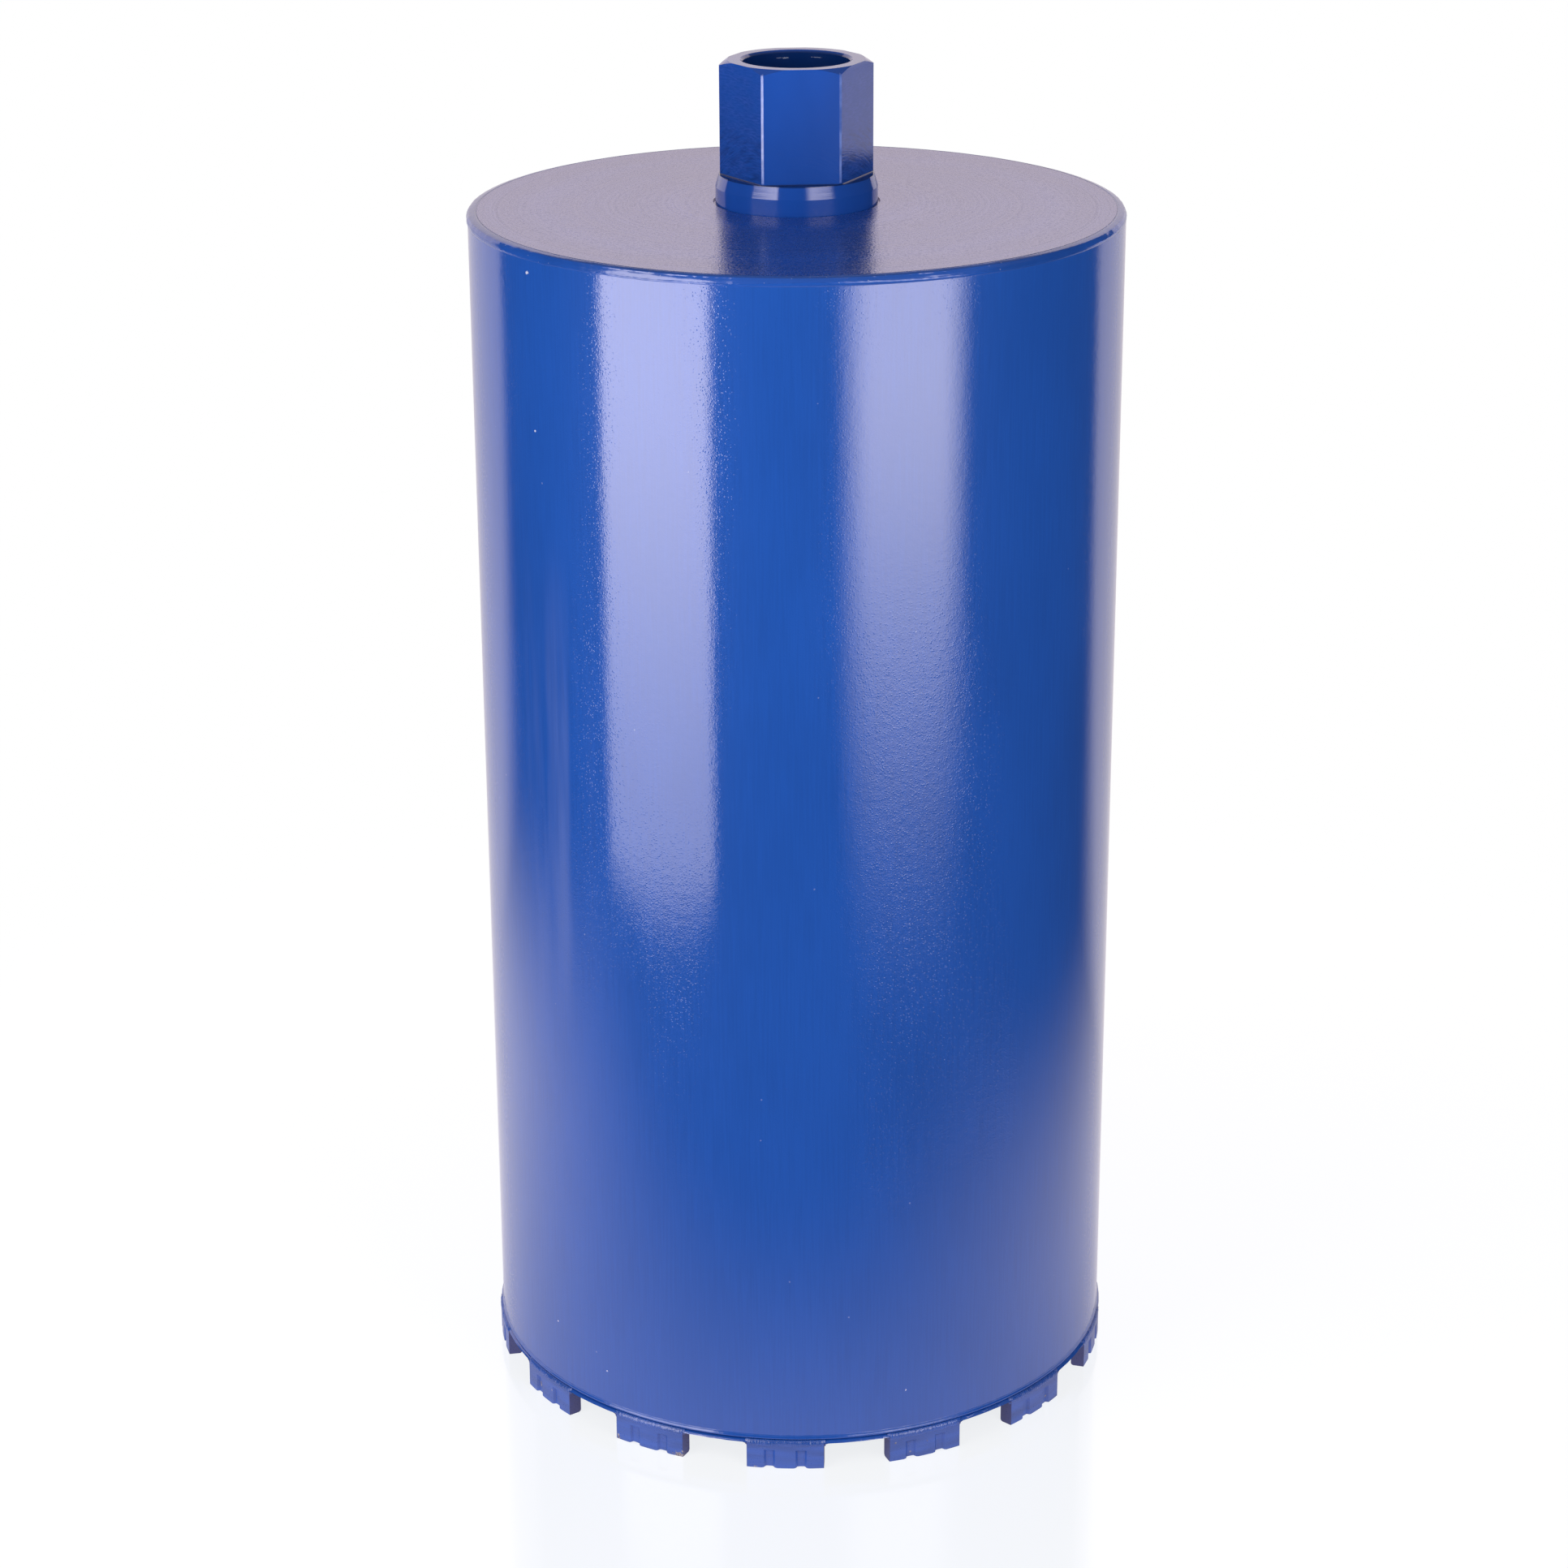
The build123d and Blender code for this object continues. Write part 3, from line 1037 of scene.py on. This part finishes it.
@dataclass
class EndPlate:
    """Turned plate that closes the tube, with the weld round its rim, in millimetres.

    A stretch of the weld has its azimuth in degrees, the bead's height below the rim, the
    breadth of its shoulder and its bulge.
    """

    finish: PlatePaint
    weld_finish: WeldPaint
    rim_height: float = 376.0
    tube_radius: float = 99.1
    plate_radius: float = 96.35
    foot: float = 373.3
    proud: float = 0.015
    crown_drop: float = 0.32
    turns: int = 1440
    stretches: tuple = (
        (-180.0, 2.0, 0.8, 0.2),
        (-150.0, 2.3, 0.8, 0.25),
        (-120.0, 1.9, 0.8, 0.2),
        (-90.0, 2.4, 0.5, 0.5),
        (-72.0, 2.9, 0.5, 0.6),
        (-59.0, 2.8, 0.6, 0.45),
        (-45.0, 2.5, 0.8, 0.25),
        (-30.0, 2.3, 1.0, 0.15),
        (-17.0, 2.3, 1.05, 0.12),
        (-8.0, 2.3, 1.05, 0.12),
        (3.0, 1.6, 0.9, 0.1),
        (9.7, 1.25, 0.8, 0.1),
        (18.0, 1.6, 0.9, 0.12),
        (38.0, 2.1, 1.0, 0.15),
        (62.0, 1.9, 0.8, 0.2),
        (90.0, 1.8, 0.7, 0.2),
        (120.0, 2.2, 0.8, 0.25),
        (150.0, 1.9, 0.8, 0.2),
    )
    face_shares: tuple = (0.0, 0.05, 0.1, 0.16, 0.25, 0.38, 0.5, 0.62, 0.74, 0.84, 0.9, 0.95, 1.0)

    def build(self) -> None:
        """Dresses the plate and lays the rim's bead."""
        dress("top_plate", self.finish.material())
        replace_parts(self.bead(), "rim_weld")

    def around(self, column: int) -> np.ndarray:
        """Spreads one column of the stretches evenly round the rim.

        Args:
            column: Number of the column.

        Returns:
            One value for each turn step, from azimuth 0 at the front.
        """
        azimuths = np.arange(self.turns) * 360.0 / self.turns
        table = np.array(self.stretches)
        return np.interp(azimuths, table[:, 0], table[:, column], period=360.0)

    def ripple(self, waves: int, seed: int) -> np.ndarray:
        """Makes a random line round the rim."""
        return periodic_noise(self.turns, waves, seed)

    def bead(self) -> Piece:
        """Builds the wavy weld bead between the plate and the tube.

        Returns:
            The bead piece.
        """
        band = self.around(1) + 0.12 * self.ripple(90, 3) + 0.05 * self.ripple(420, 4)
        bulge = self.around(3) * (1 + 0.15 * self.ripple(120, 5))
        lower_lip = 0.07 + 0.05 * self.ripple(700, 6)
        upper_lip = 0.06 + 0.05 * self.ripple(640, 7)
        line = self.rim_height - band
        skirt = self.tube_radius + self.proud
        shoulder = self.tube_radius - self.around(2) + 0.08 * self.ripple(200, 8)
        rows = [
            (self.tube_radius - 0.35, np.minimum(line - 0.5, self.foot)),
            (self.tube_radius + 0.012, np.minimum(line - 0.32, self.foot + 0.1)),
            (skirt, line - 0.16),
        ]
        for share in self.face_shares:
            radius = skirt * (1 - share) + shoulder * share
            radius = radius + bulge * math.sin(math.pi * share) ** 0.7
            radius = radius + lower_lip * math.exp(-((share - 0.05) / 0.05) ** 2)
            radius = radius + upper_lip * math.exp(-((share - 0.92) / 0.05) ** 2)
            rows.append((radius, line + (band - self.crown_drop) * share))
        rows += [(shoulder - 0.3, self.rim(0.75)), (shoulder - 0.65, self.rim(0.45))]
        groove = ((0.55, 0.02), (0.4, 0.12), (0.22, 0.1), (0.1, 0.0), (0.0, 0.06), (0.0, 1.2))
        rows.append((self.plate_radius + 0.75, self.rim(0.15)))
        rows += [(self.plate_radius + out, self.rim_height - down) for out, down in groove]
        radii = np.stack([np.broadcast_to(row[0], self.turns) for row in rows], 1)
        heights = np.stack([np.broadcast_to(row[1], self.turns) for row in rows], 1)
        points = ring_points(radii, heights)
        faces = ring_faces(self.turns, len(rows))
        return mesh_piece("rim_bead", points, faces, self.weld_finish.material())

    def rim(self, share: float) -> float:
        """Gives the height of the bead's top at a share of its slope."""
        return self.rim_height - self.crown_drop * share


@dataclass
class Tube:
    """Thin steel tube of the bit, with the section of its rolled edge in millimetres."""

    finish: BarrelPaint
    radius: float = 99.1
    turns: int = 1080
    rolled_edge: tuple = (
        (98.8, 9.93),
        (99.3, 9.93),
        (99.42, 10.05),
        (99.42, 10.22),
        (99.34, 10.42),
        (99.25, 10.6),
        (99.17, 10.8),
        (99.12, 11.0),
        (99.1, 11.2),
        (98.8, 11.5),
    )

    def build(self) -> None:
        """Dresses the tube and rolls its lower edge."""
        paint = self.finish.material()
        dress("barrel", paint)
        self.edge(paint)

    def edge(self, paint: Material) -> Piece:
        """Builds the slightly rolled edge over the groove.

        Args:
            paint: Finish of the edge.

        Returns:
            The edge piece.
        """
        wave = 0.04 * periodic_noise(self.turns, 150, 11) + 0.02 * periodic_noise(self.turns, 430, 12)
        radii, heights = np.array(self.rolled_edge).T
        proud = np.maximum(0.0, radii - self.radius) * wave[:, None]
        points = ring_points(radii + 2.0 * proud, heights + proud)
        faces = ring_faces(self.turns, len(self.rolled_edge))
        return mesh_piece("rolled_edge", points, faces, paint)


@dataclass
class SegmentRing:
    """Ring of diamond segments, with the weld line above them, in millimetres.

    A point of the bead's section has its reach out of the groove, its height and its
    roughness.
    """

    finish: SegmentPaint
    weld_finish: LaserWeldPaint
    count: int = 14
    half_reach: float = 7.2
    groove_radius: float = 98.6
    box_x: float = 99.88
    box_y: float = 99.98
    steps: int = 220
    steps_per_sag: int = 20
    sagging_from: int = 5
    section: tuple = (
        (0.0, 9.75, 0.0),
        (0.75, 9.66, 0.35),
        (1.12, 9.35, 0.8),
        (1.32, 9.0, 1.0),
        (1.47, 8.62, 1.0),
        (1.52, 8.25, 0.9),
        (1.47, 7.9, 0.5),
        (1.3, 7.75, 0.0),
    )

    def build(self) -> None:
        """Dresses the segments and lays their weld beads."""
        paint = self.finish.material()
        for number in range(1, self.count + 1):
            dress(f"segment_{number:02d}", paint)
        self.beads()

    def beads(self) -> Piece:
        """Builds the rough laser weld beads between the lip and the segments.

        Returns:
            The piece with one bead over every segment.
        """
        chance = np.random.default_rng(21)
        points = []
        faces = []
        for number in range(self.count):
            faces += rod_faces(self.steps, len(self.section), len(points))
            points += self.bead(360.0 / self.count * number, chance)
        bead_paint = self.weld_finish.material()
        return mesh_piece("laser_weld", np.array(points), faces, bead_paint)

    def bead(self, middle: float, chance: np.random.Generator) -> list:
        """Lays one bead over a segment.

        Args:
            middle: Azimuth of the segment's middle in degrees.
            chance: Source of the bead's roughness.

        Returns:
            The bead's points.
        """
        lumps = chance.normal(0.0, 1.0, (self.steps + 1, len(self.section)))
        smooth = (lumps + np.roll(lumps, 1, 0) + np.roll(lumps, -1, 0)) / 3
        knots = np.arange(0, self.steps + self.steps_per_sag + 1, self.steps_per_sag)
        sag = np.interp(np.arange(self.steps + 1), knots, chance.uniform(-0.28, 0.22, len(knots)))
        points = []
        for step in range(self.steps + 1):
            share = step / self.steps
            angle = math.radians(middle + self.half_reach * (2 * share - 1))
            fade = min(1.0, min(share, 1 - share) * 16)
            widest = self.box_x / max(abs(math.sin(angle)), 0.01)
            deepest = self.box_y / max(abs(math.cos(angle)), 0.01)
            for row, (outward, height, rough) in enumerate(self.section):
                bump = 0.065 * rough * smooth[step, row] - 0.35 * (1 - fade)
                radius = min(self.groove_radius + outward + bump, widest, deepest)
                level = height + 0.05 * rough * lumps[step, row]
                level += sag[step] if row >= self.sagging_from else 0.0
                points.append((radius * math.sin(angle), -radius * math.cos(angle), level))
        return points


@dataclass(frozen=True)
class Softbox:
    """One tall soft light beside the bit, with its brightness from foot to top.

    Its sides are azimuths in degrees and its other places are metres. Between gap_low and
    gap_high it looks dim in reflections, and still lights the bit.
    """

    name: str
    left: float
    right: float
    foot_light: float
    top_light: float
    rise: float
    edge: float
    left_distance: float = 0.56
    right_distance: float = 0.56
    height: float = 0.72
    gap_low: float = 0.335
    gap_high: float = 0.56
    gap_share: float = 0.04


@dataclass
class Studio:
    """Plain floor, backdrop and soft lights, in metres."""

    turn: float = CAMERA_TURN
    world_light: float = 0.25
    cast: tuple = (1.0, 0.9, 0.95, 1.0)
    screen_left: float = -121.0
    screen_right: float = 136.0
    screen_open_from: float = 115.0
    screen_foot: float = 0.2
    screen_distance: float = 1.6
    screen_height: float = 1.4
    screen_steps: int = 40
    screen_light: float = 0.03
    ceiling_light: float = 0.12
    floor_half: float = 6.0
    floor_glow: float = 0.835
    floor_cast: tuple = (0.97, 0.985, 1.0, 1.0)
    floor_index: float = 1.62
    floor_roughness: float = 0.1
    mirrored_glow: float = 0.60
    bounce: float = 0.45
    floor_tone: float = 0.8
    shadow_depth: float = 0.16
    sheet_reach: float = 0.16
    white_from: float = 0.5
    softboxes: tuple = (
        Softbox("left_softbox", -66.6, -26.2, 1.75, 3.6, 0.26, 0.06, 0.57, 0.56),
        Softbox("right_softbox", 10.5, 58.5, 0.2, 3.1, 0.256, 0.28),
    )

    def build(self) -> None:
        """Builds the floor, the world, the screen and the softboxes."""
        self.world()
        self.floor()
        for softbox in self.softboxes:
            self.softbox(softbox)
        self.screen()

    def place(self, azimuth: float, distance: float, height: float) -> Vector:
        """Places a point of the studio.

        Args:
            azimuth: Degrees to the right of the camera's side, as seen from above.
            distance: Metres from the bit's axis.
            height: Metres above the floor.

        Returns:
            The point.
        """
        angle = math.radians(azimuth) + self.turn
        return Vector((distance * math.sin(angle), -distance * math.cos(angle), height))

    def staged(self, name: str, points: list, faces: list, material: Material) -> Piece:
        """Makes a mesh of the studio.

        Args:
            name: Name of the mesh.
            points: Vertices in metres.
            faces: Vertex numbers of each face.
            material: Material of the mesh.

        Returns:
            The new object.
        """
        mesh = bpy.data.meshes.new(name)
        mesh.from_pydata([tuple(point) for point in points], [], faces)
        mesh.materials.append(material)
        item = bpy.data.objects.new(name, mesh)
        bpy.context.scene.collection.objects.link(item)
        return item

    def flat_light(self, name: str, strength: float) -> tuple:
        """Makes a material that only gives light.

        Args:
            name: Name of the material.
            strength: Brightness, where 1 is white.

        Returns:
            The material, its graph and its emission node.
        """
        material = bpy.data.materials.new(name)
        material.use_nodes = True
        graph = Graph(material.node_tree)
        glow = graph.add("ShaderNodeEmission", {"Strength": strength})
        graph.add("ShaderNodeOutputMaterial", {"Surface": glow.outputs[0]})
        return material, graph, glow

    def seen(self, graph: Graph) -> Socket:
        """Tells a ray that sees the studio from one that only carries light.

        Args:
            graph: Graph to add the nodes to.

        Returns:
            Socket that is 1 for a camera, mirror or glass ray, and 0 for another.
        """
        path = graph.add("ShaderNodeLightPath").outputs
        seen = graph.larger(path["Is Camera Ray"], path["Is Glossy Ray"])
        return graph.larger(seen, path["Is Transmission Ray"])

    def softbox(self, box: Softbox) -> None:
        """Stands a softbox beside the bit, hidden from the camera.

        Args:
            box: Place and brightness of the softbox.
        """
        material, graph, glow = self.flat_light(box.name, 1.0)
        along = graph.split(graph.add("ShaderNodeTexCoord").outputs["Generated"])[0]
        height = graph.split(graph.place())[2]
        strength = graph.rescale(height, 0.0, box.rise, (box.foot_light, box.top_light))
        above = graph.rescale(height, box.gap_high - 0.03, box.gap_high + 0.01)
        below = graph.rescale(height, box.gap_low + 0.03, box.gap_low - 0.01)
        unseen = graph.minus(1.0, self.seen(graph))
        lit = graph.larger(graph.larger(above, below), graph.larger(unseen, box.gap_share))
        sides = graph.times(
            graph.rescale(along, 0.0, box.edge),
            graph.rescale(along, 1.0, 1.0 - box.edge),
        )
        strength = graph.times(graph.times(strength, lit), sides)
        graph.tree.links.new(strength, glow.inputs["Strength"])
        points = [
            self.place(box.left, box.left_distance, 0.0),
            self.place(box.right, box.right_distance, 0.0),
            self.place(box.right, box.right_distance, box.height),
            self.place(box.left, box.left_distance, box.height),
        ]
        panel = self.staged(box.name, points, [(0, 1, 2, 3)], material)
        panel.visible_camera = False

    def screen(self) -> None:
        """Stands a dark screen round the front and sides, with a dim ceiling over the studio.

        Both are seen only in reflections, and leave the backdrop open behind the bit.
        """
        steps = self.screen_steps
        points = []
        rim = []
        for step in range(steps + 1):
            azimuth = self.screen_left + (self.screen_right - self.screen_left) * step / steps
            foot = self.screen_foot if azimuth > self.screen_open_from else 0.0
            points.append(self.place(azimuth, self.screen_distance, foot))
            points.append(self.place(azimuth, self.screen_distance, self.screen_height))
        for step in range(steps):
            rim.append(self.place(360.0 * step / steps, self.screen_distance, self.screen_height))
        faces = [(2 * step, 2 * step + 2, 2 * step + 3, 2 * step + 1) for step in range(steps)]
        dark, _, _ = self.flat_light("dark_screen", self.screen_light)
        dim, _, _ = self.flat_light("dim_ceiling", self.ceiling_light)
        screen = self.staged("dark_screen", points, faces, dark)
        ceiling = self.staged("dim_ceiling", rim, [tuple(range(steps))], dim)
        for item in (screen, ceiling):
            item.visible_camera = False
            item.visible_diffuse = False
            item.visible_shadow = False

    def world(self) -> None:
        """Sets a white world for the view and for reflections, and a soft one for light."""
        world = bpy.data.worlds.new("studio")
        bpy.context.scene.world = world
        world.use_nodes = True
        graph = Graph(world.node_tree)
        mirrored = graph.add("ShaderNodeLightPath").outputs["Is Glossy Ray"]
        values = {
            "Color": graph.mix(mirrored, WHITE, self.cast),
            "Strength": graph.choose(self.seen(graph), self.world_light, 1.0),
        }
        background = graph.add("ShaderNodeBackground", values)
        graph.add("ShaderNodeOutputWorld", {"Surface": background.outputs[0]})

    def floor(self) -> None:
        """Lays the pale glossy floor, with the bit's shadow and mirror image left on it.

        The camera sees a glossy sheet that turns plain white away from the bit. The rest
        of the light sees a matte floor.
        """
        material = bpy.data.materials.new("pale_floor")
        material.use_nodes = True
        graph = Graph(material.node_tree)
        camera = graph.add("ShaderNodeLightPath").outputs["Is Camera Ray"]
        depth = self.shadow_depth
        values = {
            "Base Color": (depth, depth, depth, 1.0),
            "Roughness": self.floor_roughness,
            "IOR": self.floor_index,
            "Emission Color": self.floor_cast,
            "Emission Strength": self.floor_glow,
        }
        sheet = graph.add("ShaderNodeBsdfPrincipled", values).outputs[0]
        white = graph.add("ShaderNodeEmission", {"Strength": 1.0}).outputs[0]
        _, reach, _ = graph.wrapped()
        far = graph.rescale(reach, self.sheet_reach, self.white_from)
        viewed = graph.add("ShaderNodeMixShader", {0: far, 1: sheet, 2: white}).outputs[0]
        mirrored = self.mirrored_floor(graph, reach)
        whole = graph.add("ShaderNodeMixShader", {0: camera, 1: mirrored, 2: viewed})
        graph.add("ShaderNodeOutputMaterial", {"Surface": whole.outputs[0]})
        half = self.floor_half
        points = [(-half, -half, 0.0), (half, -half, 0.0), (half, half, 0.0), (-half, half, 0.0)]
        self.staged("pale_floor", points, [(0, 1, 2, 3)], material)

    def mirrored_floor(self, graph: Graph, reach: Socket) -> Socket:
        """Builds the floor as the bit mirrors it and is lit by it.

        In reflections the floor is white behind and beside the bit, and falls into shade
        towards the front, where the real one ended.

        Args:
            graph: Graph of the floor's material.
            reach: Socket of the distance from the bit's axis.

        Returns:
            The floor's shader.
        """
        tone = (self.floor_tone, self.floor_tone, self.floor_tone, 1.0)
        matte = graph.add("ShaderNodeBsdfDiffuse", {"Color": tone}).outputs[0]
        given = graph.rescale(reach, 0.40, 0.12, (0.0, self.bounce))
        strength = graph.choose(self.seen(graph), given, self.mirrored_glow)
        glow = graph.add("ShaderNodeEmission", {"Color": self.cast, "Strength": strength}).outputs[0]
        plain = graph.add("ShaderNodeAddShader", {0: matte, 1: glow}).outputs[0]
        x, y, _ = graph.split(graph.place())
        back = graph.rescale(y, -0.30, 0.12)
        right = graph.rescale(x, 0.42, 0.14)
        left = graph.rescale(x, -0.62, -0.26)
        near = graph.times(back, graph.times(right, left))
        open_left = graph.rescale(graph.plus(x, graph.times(y, 1.8)), -0.25, 0.17)
        open_right = graph.rescale(graph.minus(x, graph.times(y, 1.2)), 0.18, -0.08)
        lit = graph.larger(near, graph.times(open_left, open_right))
        mirror = graph.add("ShaderNodeLightPath").outputs["Is Glossy Ray"]
        shade = graph.times(graph.minus(1.0, lit), mirror)
        dark = graph.add("ShaderNodeEmission", {"Strength": self.screen_light}).outputs[0]
        return graph.add("ShaderNodeMixShader", {0: shade, 1: plain, 2: dark}).outputs[0]


@dataclass
class PhotoCamera:
    """Camera of the photograph, fitted to the tube's and the hub's outlines.

    Places are metres, angles are radians, and the lens is in millimetres.
    """

    distance: float = 1.0683
    height: float = 0.5959
    yaw: float = -0.0042
    pitch: float = 0.3376
    roll: float = 0.0045
    lens: float = 82.26
    sensor: float = 36.0
    shift: float = -0.06
    turn: float = CAMERA_TURN

    def build(self) -> None:
        """Places the camera and makes it the scene's."""
        data = bpy.data.cameras.new("photo_camera")
        data.sensor_width = self.sensor
        data.lens = self.lens
        data.shift_y = self.shift
        data.clip_start = 0.05
        data.clip_end = 50.0
        camera = bpy.data.objects.new("photo_camera", data)
        bpy.context.scene.collection.objects.link(camera)
        level = math.cos(self.pitch)
        ahead = (math.sin(self.yaw) * level, math.cos(self.yaw) * level, -math.sin(self.pitch))
        forward = Vector(ahead)
        right = Vector((math.cos(self.yaw), -math.sin(self.yaw), 0.0))
        down = forward.cross(right)
        side = right * math.cos(self.roll) + down * math.sin(self.roll)
        lower = right * -math.sin(self.roll) + down * math.cos(self.roll)
        axes = Matrix((side, -lower, -forward)).transposed().to_4x4()
        placed = Matrix.Translation((0.0, -self.distance, self.height)) @ axes
        camera.matrix_world = Matrix.Rotation(self.turn, 4, "Z") @ placed
        bpy.context.scene.camera = camera


def main() -> None:
    """Builds the studio and dresses the bit, piece by piece."""
    logging.basicConfig(level=logging.INFO, format="%(message)s")
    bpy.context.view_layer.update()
    bpy.context.scene.view_settings.view_transform = "Standard"
    effects = Effects()
    rim_paint = WeldPaint(effects)
    laser_paint = LaserWeldPaint(effects)
    assemblies = (
        PhotoCamera(),
        Studio(),
        Tube(BarrelPaint(effects)),
        EndPlate(PlatePaint(effects), rim_paint),
        Hub(HubPaint(effects), rim_paint),
        SegmentRing(SegmentPaint(effects), laser_paint),
    )
    for assembly in assemblies:
        assembly.build()
        log.info("%s is built", type(assembly).__name__)


if __name__ == "__main__":
    main()
